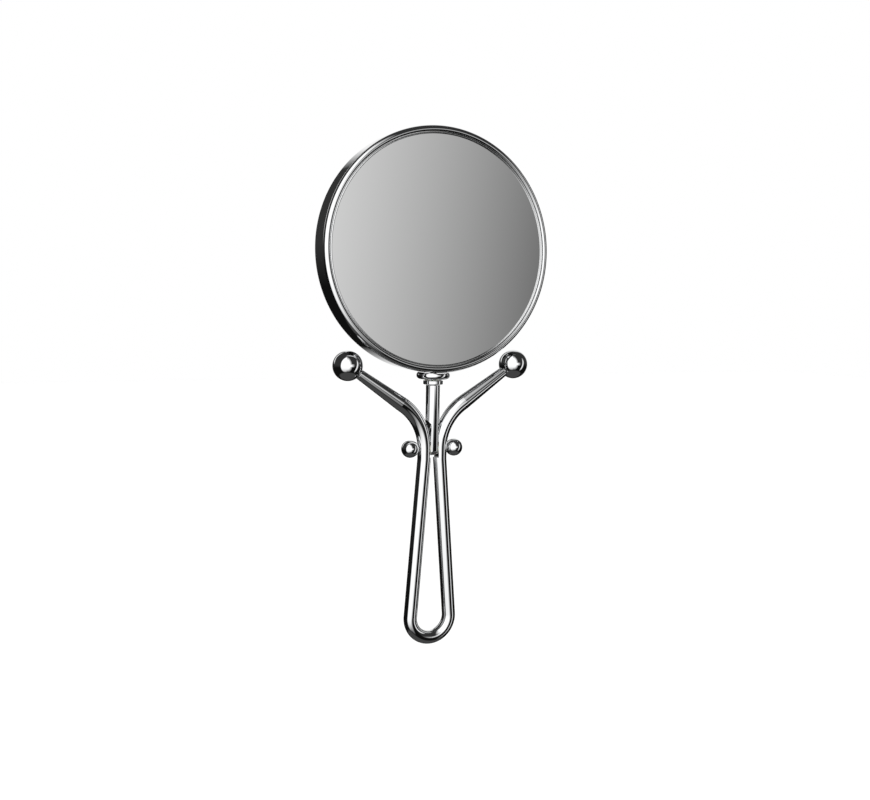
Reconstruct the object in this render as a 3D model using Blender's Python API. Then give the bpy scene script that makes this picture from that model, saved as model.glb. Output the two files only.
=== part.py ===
# Round double-sided mirror on a folding stem, with a bent-rod loop handle that doubles as a stand.
#
# Frame: +Z up, +X to the right, the plain mirror faces -Y. The origin is the grip point, on the
# centre line between the handle's two legs. At rest the head stands straight above the handle.
# Three bodies: the frame (bent rod, horns, feet, hinge axle), the stem, which folds on the
# axle, and the head, which turns on the stem's screw.

import bpy
import bmesh
from math import atan2, cos, degrees, pi, radians, sin, sqrt, tan
from mathutils import Vector

MM = 0.001
GAP = 0.3 * MM                       # clearance between neighbouring pieces
THIN_GAP = 0.15 * MM                 # clearance beside washers and joint faces

# Main levels on the Z axis
AXLE_Z = 60.0 * MM                   # fold hinge
HEAD_Z = AXLE_Z + 106.0 * MM         # centre of the mirror

# Head: rolled channel rim with a glass on each side
RIM_R = 64.8 * MM
RIM_HALF = 8.3 * MM                  # half of the rim's depth
RIM_ROUND = 2.1 * MM
RIM_WALL = 0.8 * MM
LIP_R = 61.6 * MM                    # inner edge of the rim's lips
LIP_WALL = 0.8 * MM
LIP_EDGE = 0.25 * MM                 # how far the lip dips at its inner edge
GLASS_R = 62.5 * MM
GLASS_THICK = 2.4 * MM
GLASS_EDGE = 0.3 * MM
DISH_R = 59.8 * MM                   # rim of the magnifying glass's hollow
DISH_SAG = 1.5 * MM
BEAD_R = 60.85 * MM                  # middle of the trim bead
BEAD_HALF = 0.45 * MM
SEAL_IN = 62.8 * MM
SEAL_OUT = 63.7 * MM
SEAL_LOW = 5.1 * MM
SEAL_HIGH = 6.3 * MM
CORE_R = 63.5 * MM
CORE_STEP_R = 52.5 * MM
CORE_WEB_HALF = 1.6 * MM
CORE_RING_HALF = 4.4 * MM
PAD_R = 51.5 * MM

# Swivel, all levels measured down from the centre of the mirror
POCKET_HALF = 3.3 * MM
POCKET_FLOOR = 59.5 * MM
SCREW_R = 1.7 * MM
SCREW_HEAD_R = 2.7 * MM
SCREW_HEAD_LOW = 58.8 * MM
SCREW_HEAD_TOP = 56.8 * MM
SCREW_END = 80.5 * MM
SCREW_SLOT = 0.8 * MM
BORE_R = 2.2 * MM                    # holes that turn on the screw
DISC_R = 9.1 * MM
DISC_TOP = 64.3 * MM
DISC_LOW = 68.4 * MM
DISC_ROUND = 1.9 * MM
THRUST_TOP = DISC_LOW + THIN_GAP
THRUST_LOW = THRUST_TOP + 0.4 * MM
THRUST_R = 4.6 * MM
COLLAR_TOP = THRUST_LOW + THIN_GAP
COLLAR_LOW = 71.3 * MM
COLLAR_R = 5.4 * MM
COLLAR_ROUND = 0.4 * MM
STEM_TOP = COLLAR_LOW + GAP

# Stem and its flat-sided tongue
STEM_R = 3.85 * MM
TONGUE_HALF = 1.95 * MM
TONGUE_RISE = 15.5 * MM              # flats end this far above the axle
TONGUE_RAMP = 2.4 * MM
STEM_HOLE_R = 1.95 * MM
STEM_HOLE_END = 81.0 * MM

# Bent rod: neck, legs, loop and the curves out to the horns
ROD_R = 3.7 * MM
NECK_X = 4.67 * MM                   # leg centre line at the neck
NECK_LOW = 6.0 * MM                  # legs start to part this far below the axle
LEG_SLOPE = radians(4.5)
LOOP_DROP = 93.6 * MM                # centre of the loop's end arc below the axle
BEND_R = 29.0 * MM
HORN_TILT = radians(34.0)            # horns above the horizontal
KNEE_R = 4.1 * MM
KNEE_STUB = 1.5 * MM                 # straight end of the rod past its bend
ROD_SIDES = 16
SLOT_HALF = 2.7 * MM                 # flats milled inside the neck
SLOT_FLOOR = 5.0 * MM                # below the axle
SLOT_TOP = 16.0 * MM                 # above the axle

# Horns and feet
FOOT_X = 48.8 * MM
FOOT_RISE = 45.1 * MM                # above the axle
FOOT_R = 8.0 * MM
HORN_TIP_R = 2.8 * MM
SPIGOT_R = 1.2 * MM
SPIGOT_LENGTH = 5.0 * MM
TIP_SHOULDER = 7.4 * MM              # horn's end face from the ball's centre
TIP_SEAT = 7.2 * MM
STUD_END = 3.0 * MM                  # horn's stud from the ball's centre

# Hinge
AXLE_R = 1.5 * MM
AXLE_HALF = 15.0 * MM
AXLE_BORE_R = 1.7 * MM
NUT_X = 13.0 * MM
NUT_R = 4.8 * MM
NUT_FACE_X = NECK_X + ROD_R + GAP
WASHER_IN_X = 2.1 * MM
WASHER_OUT_X = 2.55 * MM
WASHER_R = 3.1 * MM

RIM_STEPS = 64
RING_STEPS = 48
SMALL_STEPS = 32
BALL_STEPS = 24

FACE_FRONT = (pi / 2, 0.0, 0.0)      # turns a lathe axis from +Z to -Y
FACE_RIGHT = (0.0, pi / 2, 0.0)      # turns a lathe axis from +Z to +X


def clear_scene():
    for obj in list(bpy.data.objects):
        bpy.data.objects.remove(obj)


def make_material(name, colour, roughness, metallic):
    mat = bpy.data.materials.new(name)
    mat.use_nodes = True
    shader = mat.node_tree.nodes["Principled BSDF"]
    shader.inputs["Base Color"].default_value = (*colour, 1.0)
    shader.inputs["Roughness"].default_value = roughness
    shader.inputs["Metallic"].default_value = metallic
    mat.diffuse_color = (*colour, 1.0)
    return mat


def make_empty(name, location, parent=None):
    empty = bpy.data.objects.new(name, None)
    empty.empty_display_size = 0.01
    bpy.context.collection.objects.link(empty)
    place(empty, location, parent)
    return empty


def place(obj, location, parent):
    """Put an object at a world position, under an unturned parent empty."""
    obj.parent = parent
    here = Vector(location)
    above = parent
    while above is not None:
        here -= above.location
        above = above.parent
    obj.location = here


def add_piece(name, mesh, mat, location=(0, 0, 0), rotation=(0, 0, 0), parent=None):
    obj = bpy.data.objects.new(name, mesh)
    bpy.context.collection.objects.link(obj)
    place(obj, location, parent)
    obj.rotation_euler = rotation
    mesh.materials.append(mat)
    return obj


def arc(centre, radius, start, end, count):
    """Points on an arc in profile space, both ends included; angles in degrees."""
    points = []
    for i in range(count + 1):
        angle = radians(start + (end - start) * i / count)
        points.append((centre[0] + radius * cos(angle), centre[1] + radius * sin(angle)))
    return points


def finish(bm, name):
    bmesh.ops.remove_doubles(bm, verts=bm.verts, dist=1e-6)
    bmesh.ops.dissolve_degenerate(bm, edges=bm.edges, dist=1e-7)
    bmesh.ops.recalc_face_normals(bm, faces=bm.faces)
    mesh = bpy.data.meshes.new(name)
    bm.to_mesh(mesh)
    bm.free()
    mesh.shade_smooth()
    mesh.set_sharp_from_angle(angle=radians(35))
    return mesh


def turned(name, profile, steps, ring):
    """Spin a (radius, height) profile about Z. A ring's profile closes on itself;
    a solid's profile starts and ends on the axis."""
    bm = bmesh.new()
    verts = [bm.verts.new((r, 0.0, h)) for r, h in profile]
    edges = [bm.edges.new(pair) for pair in zip(verts[:-1], verts[1:])]
    if ring:
        edges.append(bm.edges.new((verts[-1], verts[0])))
    bmesh.ops.spin(bm, geom=verts + edges, cent=(0, 0, 0), axis=(0, 0, 1),
                   angle=2 * pi, steps=steps, use_duplicate=False)
    return finish(bm, name)


def cylinder_profile(radius, low, high):
    return [(0.0, low), (radius, low), (radius, high), (0.0, high)]


def washer_profile(inner, outer, low, high):
    return [(inner, low), (outer, low), (outer, high), (inner, high)]


def ball_profile(radius, count):
    points = arc((0.0, 0.0), radius, -90, 90, count)
    points[0] = (0.0, -radius)
    points[-1] = (0.0, radius)
    return points


def extruded(name, outline, low, high):
    """Extrude a (y, z) outline along X."""
    bm = bmesh.new()
    face = bm.faces.new([bm.verts.new((low, y, z)) for y, z in outline])
    result = bmesh.ops.extrude_face_region(bm, geom=[face])
    moved = [item for item in result["geom"] if isinstance(item, bmesh.types.BMVert)]
    bmesh.ops.translate(bm, verts=moved, vec=(high - low, 0, 0))
    return finish(bm, name)


def box_mesh(name, low, high):
    outline = [(low[1], low[2]), (high[1], low[2]), (high[1], high[2]), (low[1], high[2])]
    return extruded(name, outline, low[0], high[0])


def add_cutter(name, mesh, location=(0, 0, 0), rotation=(0, 0, 0), parent=None):
    obj = bpy.data.objects.new(name, mesh)
    bpy.context.collection.objects.link(obj)
    place(obj, location, parent)
    obj.rotation_euler = rotation
    obj.hide_render = True
    obj.display_type = "WIRE"
    return obj


def cut(target, cutter):
    modifier = target.modifiers.new(cutter.name, "BOOLEAN")
    modifier.operation = "DIFFERENCE"
    modifier.solver = "EXACT"
    modifier.object = cutter


# ---------------------------------------------------------------- head

def rim_profile():
    """Channel section, lips turned in on both sides, as (radius, height) round the loop."""
    corner = RIM_HALF - RIM_ROUND
    front = arc((RIM_R - RIM_ROUND, corner), RIM_ROUND, 0, 90, 3)
    front.append((LIP_R + 0.2 * MM, RIM_HALF - LIP_EDGE))
    front.append((LIP_R, RIM_HALF - LIP_EDGE - 0.2 * MM))
    inside = [(LIP_R, RIM_HALF - LIP_WALL),
              (RIM_R - 2 * RIM_WALL, RIM_HALF - LIP_WALL),
              (RIM_R - RIM_WALL, RIM_HALF - LIP_WALL - RIM_WALL)]
    half = front + inside
    mirrored = [(r, -h) for r, h in reversed(half)]
    return half + mirrored


def dish_depth(radius):
    """Depth of the magnifying glass's hollow below its edge."""
    return DISH_SAG * max(0.0, 1.0 - (radius / DISH_R) ** 2)


def head_piece(name, profile, steps, ring, mat, parent):
    mesh = turned(name, profile, steps, ring)
    return add_piece(name, mesh, mat, (0, 0, HEAD_Z), FACE_FRONT, parent)


def build_head(mats, parent):
    rim = head_piece("rim_channel", rim_profile(), RIM_STEPS, True, mats["chrome"], parent)
    hole = turned("rim_hole", cylinder_profile(BORE_R, -3 * MM, 3 * MM), SMALL_STEPS, False)
    cut(rim, add_cutter("rim_hole", hole, (0, 0, HEAD_Z - RIM_R), (0, 0, 0), parent))

    face = RIM_HALF - LIP_WALL - GAP
    back = face - GLASS_THICK
    flat = [(0.0, face), (GLASS_R - GLASS_EDGE, face), (GLASS_R, face - GLASS_EDGE),
            (GLASS_R, back), (0.0, back)]
    head_piece("front_glass", flat, RIM_STEPS, False, mats["mirror"], parent)

    radii = [DISH_R * i / 3 for i in range(4)]
    dished = [(r, -(face - dish_depth(r))) for r in radii]
    dished += [(GLASS_R - GLASS_EDGE, -face), (GLASS_R, -(face - GLASS_EDGE)), (GLASS_R, -back)]
    dished += [(r, -(back - dish_depth(r))) for r in reversed(radii)]
    head_piece("back_glass", dished, RIM_STEPS, False, mats["mirror"], parent)

    for side, name in ((1, "front"), (-1, "back")):
        low = face + GAP
        crown = low + 0.15 * MM
        bead = [(BEAD_R - BEAD_HALF, low), (BEAD_R + BEAD_HALF, low)]
        bead += arc((BEAD_R, crown), BEAD_HALF, 0, 180, 4)
        bead = [(r, side * h) for r, h in bead]
        head_piece(name + "_trim_ring", bead, RIM_STEPS, True, mats["chrome"], parent)
        seal = washer_profile(SEAL_IN, SEAL_OUT, side * SEAL_LOW, side * SEAL_HIGH)
        head_piece(name + "_seal", seal, RING_STEPS, True, mats["rubber"], parent)

    web = CORE_WEB_HALF + GAP
    pad = cylinder_profile(PAD_R, web, back - GAP)
    head_piece("front_pad", pad, RING_STEPS, False, mats["foam"], parent)
    radii = [PAD_R * i / 3 for i in range(4)]
    pad = [(r, -(back - dish_depth(r) - GAP)) for r in radii] + [(PAD_R, -web), (0.0, -web)]
    head_piece("back_pad", pad, RING_STEPS, False, mats["foam"], parent)

    half = [(0.0, CORE_WEB_HALF), (CORE_STEP_R, CORE_WEB_HALF),
            (CORE_STEP_R, CORE_RING_HALF), (CORE_R, CORE_RING_HALF)]
    core_profile = half + [(r, -h) for r, h in reversed(half)]
    core = head_piece("core_plate", core_profile, RING_STEPS, False, mats["moulding"], parent)
    pocket = box_mesh("pocket", (-POCKET_HALF, -5 * MM, HEAD_Z - POCKET_FLOOR),
                      (POCKET_HALF, 5 * MM, HEAD_Z - POCKET_FLOOR + 11 * MM))
    cut(core, add_cutter("pocket", pocket, parent=parent))
    bore = turned("core_bore", cylinder_profile(BORE_R, -6 * MM, 1 * MM), SMALL_STEPS, False)
    cut(core, add_cutter("core_bore", bore, (0, 0, HEAD_Z - POCKET_FLOOR), parent=parent))

    spring = washer_profile(SCREW_R + 0.2 * MM, SCREW_HEAD_R - 0.1 * MM,
                            -POCKET_FLOOR + THIN_GAP, -SCREW_HEAD_LOW - THIN_GAP)
    mesh = turned("spring_washer", spring, SMALL_STEPS, True)
    add_piece("spring_washer", mesh, mats["steel"], (0, 0, HEAD_Z), parent=parent)

    # The disc under the rim has a rounded edge and a saddle on top that fits the rim.
    middle = -(DISC_TOP + DISC_LOW) / 2
    reach = (DISC_LOW - DISC_TOP) / 2
    disc = [(BORE_R, -DISC_LOW)]
    disc += arc((DISC_R - DISC_ROUND, -DISC_LOW + DISC_ROUND), DISC_ROUND, -90, 0, 4)
    disc += arc((DISC_R - DISC_ROUND, middle + reach - DISC_ROUND), DISC_ROUND, 0, 90, 3)
    disc += [(BORE_R, -DISC_TOP)]
    mesh = turned("swivel_disc", disc, SMALL_STEPS, True)
    saddle = turned("saddle", cylinder_profile(RIM_R + GAP, -12 * MM, 12 * MM), 96, False)
    disc = add_piece("swivel_disc", mesh, mats["chrome"], (0, 0, HEAD_Z), parent=parent)
    cut(disc, add_cutter("saddle", saddle, (0, 0, HEAD_Z), FACE_FRONT, parent))


# ---------------------------------------------------------------- stem

def build_stem(mats, parent):
    top = (0, 0, HEAD_Z)
    profile = cylinder_profile(STEM_R, AXLE_Z - STEM_R, HEAD_Z - STEM_TOP)
    stem = add_piece("stem", turned("stem", profile, SMALL_STEPS, False), mats["chrome"],
                     parent=parent)
    hole = cylinder_profile(STEM_HOLE_R, -STEM_HOLE_END, -STEM_TOP + 1 * MM)
    cut(stem, add_cutter("stem_hole", turned("stem_hole", hole, SMALL_STEPS, False), top,
                         parent=parent))

    # Two side cutters leave the tongue; each runs out on a slanted shoulder.
    wide = 6 * MM
    for side in (-1, 1):
        bm = bmesh.new()
        outline = [(TONGUE_HALF, AXLE_Z - wide), (wide, AXLE_Z - wide),
                   (wide, AXLE_Z + TONGUE_RISE), (STEM_R, AXLE_Z + TONGUE_RISE),
                   (TONGUE_HALF, AXLE_Z + TONGUE_RISE - TONGUE_RAMP)]
        face = bm.faces.new([bm.verts.new((side * x, -wide, z)) for x, z in outline])
        result = bmesh.ops.extrude_face_region(bm, geom=[face])
        moved = [item for item in result["geom"] if isinstance(item, bmesh.types.BMVert)]
        bmesh.ops.translate(bm, verts=moved, vec=(0, 2 * wide, 0))
        cut(stem, add_cutter("flat_cutter", finish(bm, "flat_cutter"), parent=parent))

    # The tongue's end is rounded about the axle, so that it can turn in the slot.
    rounding = [(y, AXLE_Z + z) for y, z in arc((0.0, 0.0), STEM_R, 180, 360, 14)]
    rounding += [(wide, AXLE_Z), (wide, AXLE_Z - wide), (-wide, AXLE_Z - wide), (-wide, AXLE_Z)]
    cut(stem, add_cutter("end_cutter", extruded("end_cutter", rounding, -wide, wide),
                         parent=parent))
    cut(stem, axle_drill("tongue_drill", AXLE_BORE_R, -wide, wide, parent))

    collar = [(BORE_R, -COLLAR_LOW), (COLLAR_R - COLLAR_ROUND, -COLLAR_LOW),
              (COLLAR_R, -COLLAR_LOW + COLLAR_ROUND), (COLLAR_R, -COLLAR_TOP - COLLAR_ROUND),
              (COLLAR_R - COLLAR_ROUND, -COLLAR_TOP), (BORE_R, -COLLAR_TOP)]
    add_piece("stem_collar", turned("stem_collar", collar, SMALL_STEPS, True),
              mats["chrome"], top, parent=parent)
    thrust = washer_profile(BORE_R, THRUST_R, -THRUST_LOW, -THRUST_TOP)
    add_piece("thrust_washer", turned("thrust_washer", thrust, SMALL_STEPS, True),
              mats["nylon"], top, parent=parent)

    screw = [(0.0, -SCREW_END), (SCREW_R, -SCREW_END), (SCREW_R, -SCREW_HEAD_LOW),
             (SCREW_HEAD_R, -SCREW_HEAD_LOW), (SCREW_HEAD_R, -SCREW_HEAD_TOP),
             (0.0, -SCREW_HEAD_TOP)]
    screw = add_piece("swivel_screw", turned("swivel_screw", screw, BALL_STEPS, False),
                      mats["steel"], top, parent=parent)
    slot_top = HEAD_Z - SCREW_HEAD_TOP
    slot = box_mesh("screw_slot", (-4 * MM, -SCREW_SLOT / 2, slot_top - SCREW_SLOT),
                    (4 * MM, SCREW_SLOT / 2, slot_top + 1 * MM))
    cut(screw, add_cutter("screw_slot", slot, parent=parent))


# ---------------------------------------------------------------- frame

def axle_drill(name, radius, low, high, parent=None):
    mesh = turned(name, cylinder_profile(radius, low, high), SMALL_STEPS // 2, False)
    return add_cutter(name, mesh, (0, 0, AXLE_Z), FACE_RIGHT, parent)


def horn_line():
    """Foot ball, knee (the rod's end face) and the levels where the bend starts and ends,
    as (x, z) above the axle. The bend is tangent to the neck and to the horn."""
    foot = Vector((FOOT_X, FOOT_RISE))
    along = Vector((cos(HORN_TILT), sin(HORN_TILT)))
    meet = foot.y - (foot.x - NECK_X) * tan(HORN_TILT)
    reach = BEND_R * tan((pi / 2 - HORN_TILT) / 2)
    knee = Vector((NECK_X, meet)) + along * (reach + KNEE_STUB)
    return foot, knee, meet - reach


def rod_path():
    """Right half of the rod's centre line, knee to the loop's lowest point, above the axle."""
    knee, bend_z = horn_line()[1:]
    points = [(knee.x, knee.y, KNEE_R)]
    bend = arc((NECK_X + BEND_R, bend_z), BEND_R, 90 + degrees(HORN_TILT), 180, 12)
    for i, (x, z) in enumerate(bend):
        radius = KNEE_R + (ROD_R - KNEE_R) * i / (len(bend) - 1)
        points.append((x, z, radius))
    points.append((NECK_X, -NECK_LOW, ROD_R))
    centre_z = -LOOP_DROP
    wide = NECK_X + (LOOP_DROP - NECK_LOW) * tan(LEG_SLOPE)
    loop_r = wide * cos(LEG_SLOPE)
    end_arc = arc((0.0, centre_z), loop_r, degrees(LEG_SLOPE), -90, 10)
    points += [(x, z, ROD_R) for x, z in end_arc]
    return points


def build_rod(mats):
    right = rod_path()
    left = [(-x, z, radius) for x, z, radius in right[:-1]]
    path = right + left[::-1]
    curve = bpy.data.curves.new("rod_curve", "CURVE")
    curve.dimensions = "3D"
    curve.bevel_depth = ROD_R
    curve.bevel_resolution = ROD_SIDES // 2 - 2
    curve.use_fill_caps = True
    spline = curve.splines.new("POLY")
    spline.points.add(len(path) - 1)
    for point, (x, z, radius) in zip(spline.points, path):
        point.co = (x, 0.0, AXLE_Z + z, 1.0)
        point.radius = radius / ROD_R
    guide = bpy.data.objects.new("rod_guide", curve)
    bpy.context.collection.objects.link(guide)
    bm = bmesh.new()
    bm.from_mesh(guide.to_mesh())
    guide.to_mesh_clear()
    bpy.data.objects.remove(guide)
    rod = add_piece("loop_handle", finish(bm, "loop_handle"), mats["chrome"])

    slot = box_mesh("neck_slot", (-SLOT_HALF, -6 * MM, AXLE_Z - SLOT_FLOOR),
                    (SLOT_HALF, 6 * MM, AXLE_Z + SLOT_TOP))
    cut(rod, add_cutter("neck_slot", slot))
    cut(rod, axle_drill("neck_drill", AXLE_BORE_R, -12 * MM, 12 * MM))
    knee = horn_line()[1]
    for side, word in ((1, "right"), (-1, "left")):
        name = "spigot_drill_" + word
        depth = SPIGOT_LENGTH + GAP
        mesh = turned(name, cylinder_profile(SPIGOT_R + GAP, -depth, 2 * MM), BALL_STEPS, False)
        place_at = (side * knee.x, 0, AXLE_Z + knee.y)
        cut(rod, add_cutter(name, mesh, place_at, (0, side * (pi / 2 - HORN_TILT), 0)))


def build_horn(side, word, mats):
    """A tapered horn with a spigot in the rod's end and a stud in its foot ball."""
    foot, knee = horn_line()[:2]
    length = (foot - knee).length
    turn = (0, side * (pi / 2 - HORN_TILT), 0)
    at_knee = (side * knee.x, 0, AXLE_Z + knee.y)
    at_foot = (side * foot.x, 0, AXLE_Z + foot.y)
    shoulder = length - TIP_SHOULDER
    profile = [(0.0, THIN_GAP - SPIGOT_LENGTH), (SPIGOT_R, THIN_GAP - SPIGOT_LENGTH),
               (SPIGOT_R, THIN_GAP), (KNEE_R, THIN_GAP), (HORN_TIP_R, shoulder),
               (SPIGOT_R, shoulder), (SPIGOT_R, length - STUD_END), (0.0, length - STUD_END)]
    mesh = turned("horn_" + word, profile, BALL_STEPS, False)
    add_piece("horn_" + word, mesh, mats["chrome"], at_knee, turn)

    ball = turned("foot_ball_" + word, ball_profile(FOOT_R, 12), BALL_STEPS, False)
    ball = add_piece("foot_ball_" + word, ball, mats["chrome"], at_foot)
    seat = [(0.0, -FOOT_R - 2 * MM), (HORN_TIP_R + GAP, -FOOT_R - 2 * MM),
            (HORN_TIP_R + GAP, -TIP_SEAT), (SPIGOT_R + GAP, -TIP_SEAT),
            (SPIGOT_R + GAP, -STUD_END + GAP), (0.0, -STUD_END + GAP)]
    seat = turned("seat_" + word, seat, BALL_STEPS, False)
    cut(ball, add_cutter("seat_" + word, seat, at_foot, turn))


def build_hinge(mats):
    axle = turned("hinge_axle", cylinder_profile(AXLE_R, -AXLE_HALF, AXLE_HALF), BALL_STEPS, False)
    add_piece("hinge_axle", axle, mats["steel"], (0, 0, AXLE_Z), FACE_RIGHT)
    face = NUT_X - NUT_FACE_X
    low = -degrees(atan2(face, sqrt(NUT_R ** 2 - face ** 2)))
    hole = NUT_X - AXLE_HALF - GAP
    for side, word in ((1, "right"), (-1, "left")):
        nut = [(0.0, -hole), (AXLE_BORE_R, -hole), (AXLE_BORE_R, -face)]
        nut += arc((0.0, 0.0), NUT_R, low, 90, 9)[:-1] + [(0.0, NUT_R)]
        mesh = turned("ball_nut_" + word, nut, BALL_STEPS, False)
        add_piece("ball_nut_" + word, mesh, mats["chrome"], (side * NUT_X, 0, AXLE_Z),
                  (0, side * pi / 2, 0))
        ring = washer_profile(AXLE_BORE_R, WASHER_R, WASHER_IN_X, WASHER_OUT_X)
        mesh = turned("friction_washer_" + word, ring, BALL_STEPS, True)
        add_piece("friction_washer_" + word, mesh, mats["nylon"], (0, 0, AXLE_Z),
                  (0, side * pi / 2, 0))


def main():
    clear_scene()
    mats = {
        "chrome": make_material("chrome", (0.86, 0.87, 0.88), 0.05, 1.0),
        "mirror": make_material("mirror", (0.80, 0.82, 0.83), 0.02, 1.0),
        "steel": make_material("steel", (0.60, 0.60, 0.60), 0.30, 1.0),
        "rubber": make_material("rubber", (0.03, 0.03, 0.03), 0.60, 0.0),
        "foam": make_material("foam", (0.25, 0.25, 0.26), 0.90, 0.0),
        "moulding": make_material("moulding", (0.08, 0.08, 0.09), 0.50, 0.0),
        "nylon": make_material("nylon", (0.85, 0.85, 0.80), 0.45, 0.0),
    }
    fold = make_empty("fold_axis", (0, 0, AXLE_Z))
    swivel = make_empty("swivel_axis", (0, 0, HEAD_Z - DISC_LOW), fold)
    bpy.context.view_layer.update()
    build_rod(mats)
    build_horn(1, "right", mats)
    build_horn(-1, "left", mats)
    build_hinge(mats)
    build_stem(mats, fold)
    build_head(mats, swivel)


main()
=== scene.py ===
from math import acos, asin, atan2, ceil, cos, degrees, pi, radians, sin, tan

import bmesh
import bpy
from mathutils import Matrix, Vector


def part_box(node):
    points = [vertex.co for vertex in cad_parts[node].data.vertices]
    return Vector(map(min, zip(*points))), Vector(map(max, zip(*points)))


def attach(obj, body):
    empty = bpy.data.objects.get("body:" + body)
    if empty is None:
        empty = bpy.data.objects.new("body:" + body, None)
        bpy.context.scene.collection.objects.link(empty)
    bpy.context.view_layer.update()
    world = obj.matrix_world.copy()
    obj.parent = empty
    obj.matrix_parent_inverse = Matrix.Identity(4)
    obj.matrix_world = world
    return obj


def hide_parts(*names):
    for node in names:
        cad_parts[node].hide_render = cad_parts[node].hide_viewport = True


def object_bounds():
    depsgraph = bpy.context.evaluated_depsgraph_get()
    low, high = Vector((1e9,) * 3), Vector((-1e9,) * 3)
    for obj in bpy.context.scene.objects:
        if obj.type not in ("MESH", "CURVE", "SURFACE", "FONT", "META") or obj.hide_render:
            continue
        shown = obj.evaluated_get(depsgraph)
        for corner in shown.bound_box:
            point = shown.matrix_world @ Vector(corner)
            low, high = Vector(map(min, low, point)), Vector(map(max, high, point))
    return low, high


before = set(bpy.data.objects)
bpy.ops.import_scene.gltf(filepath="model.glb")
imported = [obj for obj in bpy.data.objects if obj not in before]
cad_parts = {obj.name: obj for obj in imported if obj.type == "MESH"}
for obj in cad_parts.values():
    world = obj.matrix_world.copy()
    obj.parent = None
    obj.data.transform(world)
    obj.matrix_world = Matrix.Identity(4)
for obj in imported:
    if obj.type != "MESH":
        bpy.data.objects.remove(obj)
cadLow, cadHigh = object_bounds()
print("frame loaded,", len(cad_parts), "nodes")

mm = 0.001
scene = bpy.context.scene
finishes = {}


def boxOf(node):
    low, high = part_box(node)
    return (low + high) / 2, (high - low) / 2


# what the frame says about where things are
headCentre, rimHalf = boxOf("rim_channel")
axleCentre, axleHalf = boxOf("hinge_axle")
faceFront = Matrix.Translation(headCentre) @ Matrix.Rotation(pi / 2, 4, "X")  # local +Z looks at -Y
onHead = Matrix.Translation(headCentre)
onAxle = Matrix.Translation(axleCentre)
acrossAxle = onAxle @ Matrix.Rotation(pi / 2, 4, "Y")  # local +Z looks at +X
drillSteps = 48


# node helpers

def isSocket(value):
    return isinstance(value, bpy.types.NodeSocket)


def feed(tree, socket, value):
    if isSocket(value):
        tree.links.new(value, socket)
    elif value is not None:
        socket.default_value = value


def addNode(tree, kind, inputs=None, **settings):
    node = tree.nodes.new(kind)
    for key, value in settings.items():
        setattr(node, key, value)
    for key, value in (inputs or {}).items():
        feed(tree, node.inputs[key], value)
    return node


def calc(tree, operation, a, b=None, c=None, clamp=False):
    node = tree.nodes.new("ShaderNodeMath")
    node.operation = operation
    node.use_clamp = clamp
    for socket, value in zip(node.inputs, (a, b, c)):
        feed(tree, socket, value)
    return node.outputs[0]


def remap(tree, value, fromLow, fromHigh, toLow, toHigh, kind="LINEAR"):
    node = addNode(tree, "ShaderNodeMapRange", {0: value, 1: fromLow, 2: fromHigh, 3: toLow, 4: toHigh},
                   interpolation_type=kind, clamp=True)
    return node.outputs[0]


def mixColour(tree, factor, a, b):
    node = addNode(tree, "ShaderNodeMix", data_type="RGBA")
    for index, value in ((0, factor), (6, a), (7, b)):
        feed(tree, node.inputs[index], value)
    return node.outputs[2]


def grey(value):
    return (value, value, value, 1)


def startGroup(name, kind, inputs, outputs):
    # inputs is a list of (name, socket type, default); returns tree, input node outputs, output node inputs
    tree = bpy.data.node_groups.new(name, kind)
    for label, socketType, value in inputs:
        socket = tree.interface.new_socket(label, in_out="INPUT", socket_type=socketType)
        if value is not None:
            socket.default_value = value
    for label, socketType in outputs:
        tree.interface.new_socket(label, in_out="OUTPUT", socket_type=socketType)
    entry = tree.nodes.new("NodeGroupInput")
    leave = tree.nodes.new("NodeGroupOutput")
    return tree, entry.outputs, leave.inputs


def useGroup(tree, group, **inputs):
    node = tree.nodes.new("ShaderNodeGroup")
    node.node_tree = group
    for key, value in inputs.items():
        feed(tree, node.inputs[key], value)
    return node


# effects shared by the finishes

floatSocket = "NodeSocketFloat"
vectorSocket = "NodeSocketVector"


def makeHandMarks():
    # soft smears where fingers have been, broken up by a finer pattern
    tree, given, out = startGroup("handMarks", "ShaderNodeTree",
                                  [("Place", vectorSocket, None), ("Size", floatSocket, 40.0),
                                   ("Spread", floatSocket, 0.5)],
                                  [("Haze", floatSocket)])
    wide = addNode(tree, "ShaderNodeTexNoise", {"Vector": given["Place"], "Scale": given["Size"],
                                                "Detail": 3.0, "Roughness": 0.55, "Distortion": 0.8})
    fine = addNode(tree, "ShaderNodeTexNoise", {"Vector": given["Place"], "Detail": 4.0,
                                                "Scale": calc(tree, "MULTIPLY", given["Size"], 14.0)})
    start = calc(tree, "SUBTRACT", 0.78, calc(tree, "MULTIPLY", given["Spread"], 0.4))
    smear = remap(tree, wide.outputs["Fac"], start, 0.85, 0.0, 1.0, "SMOOTHSTEP")
    grain = remap(tree, fine.outputs["Fac"], 0.35, 0.7, 0.35, 1.0)
    tree.links.new(calc(tree, "MULTIPLY", smear, grain), out["Haze"])
    return tree


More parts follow.
